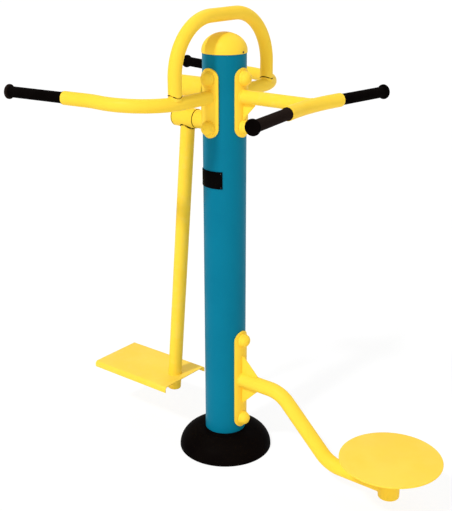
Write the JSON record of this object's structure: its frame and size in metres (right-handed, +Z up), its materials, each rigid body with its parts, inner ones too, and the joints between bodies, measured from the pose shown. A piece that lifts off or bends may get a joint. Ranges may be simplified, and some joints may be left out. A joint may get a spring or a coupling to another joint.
{
  "type": "outdoor fitness machine",
  "caption": "Outdoor fitness machine: one post with a handlebar and spinning twist disc on one side, and side handles, a hoop and a sideways swinging foot board on the other.",
  "frame": {"origin": "centre of the post's foot flange, on the ground plane", "axes": "+X towards the spinning disc, -X towards the swinging foot board, +Y and -Y towards the two side handles, +Z up along the post"},
  "size_m": [1.3547, 0.9024, 1.5176],
  "materials": {
    "teal_paint": "smooth semi-gloss powder coat",
    "yellow_paint": "smooth semi-gloss powder coat",
    "yellow_cap": "moulded, lightly satin",
    "black_cover": "moulded, satin",
    "black_grip": "fine lengthwise ribs, matt",
    "bare_steel": "turned, zinc plated"
  },
  "bodies": {
    "frame": {"anchor_bolt_1": "bare_steel", "anchor_bolt_2": "bare_steel", "anchor_bolt_3": "bare_steel", "anchor_bolt_4": "bare_steel", "base_cover": "black_cover", "base_flange": "teal_paint", "base_rib_1": "teal_paint", "base_rib_2": "teal_paint", "base_rib_3": "teal_paint", "base_rib_4": "teal_paint", "disc_arm": "yellow_paint", "disc_bearing_lower": "bare_steel", "disc_bearing_upper": "bare_steel", "disc_bolt_lower": "yellow_cap", "disc_bolt_upper": "yellow_cap", "disc_gusset_lower": "yellow_paint", "disc_gusset_upper": "yellow_paint", "disc_saddle": "yellow_paint", "dome_cap": "yellow_cap", "hoop": "yellow_paint", "hub_housing": "yellow_paint", "left_bolt_lower": "yellow_cap", "left_bolt_upper": "yellow_cap", "left_grip": "black_grip", "left_saddle": "yellow_paint", "left_stub": "yellow_paint", "left_tube": "yellow_paint", "main_post": "teal_paint", "pivot_housing": "yellow_paint", "pivot_shaft": "bare_steel", "right_bolt_lower": "yellow_cap", "right_bolt_upper": "yellow_cap", "right_grip": "black_grip", "right_saddle": "yellow_paint", "right_stub": "yellow_paint", "right_tube": "yellow_paint", "swing_bolt_lower": "bare_steel", "swing_bolt_upper": "bare_steel", "swing_saddle": "yellow_paint", "twist_arm": "yellow_paint", "twist_bar": "yellow_paint", "twist_bolt_lower": "yellow_cap", "twist_bolt_upper": "yellow_cap", "twist_gusset": "yellow_paint", "twist_left_grip": "black_grip", "twist_left_stub": "yellow_paint", "twist_right_grip": "black_grip", "twist_right_stub": "yellow_paint", "twist_saddle": "yellow_paint", "upper_stub": "yellow_paint"},
    "swing": {"arm_foot_cap": "yellow_paint", "foot_board": "yellow_paint", "pivot_sleeve": "yellow_paint", "sleeve_cap": "yellow_paint", "swing_arm": "yellow_paint", "swing_bearing_inner": "bare_steel", "swing_bearing_outer": "bare_steel"},
    "disc": {"disc_spindle": "bare_steel", "turn_disc": "yellow_paint"}
  },
  "joints": [
    {"name": "board_swing", "type": "hinge", "parent": "frame", "child": "swing", "pos_m": [-0.15, 0, 1.16], "axis": [1, 0, 0], "range_deg": [-35, 35]},
    {"name": "disc_spin", "type": "hinge", "parent": "frame", "child": "disc", "pos_m": [0.657, 0, 0.1], "axis": [0, 0, 1], "continuous": true}
  ]
}
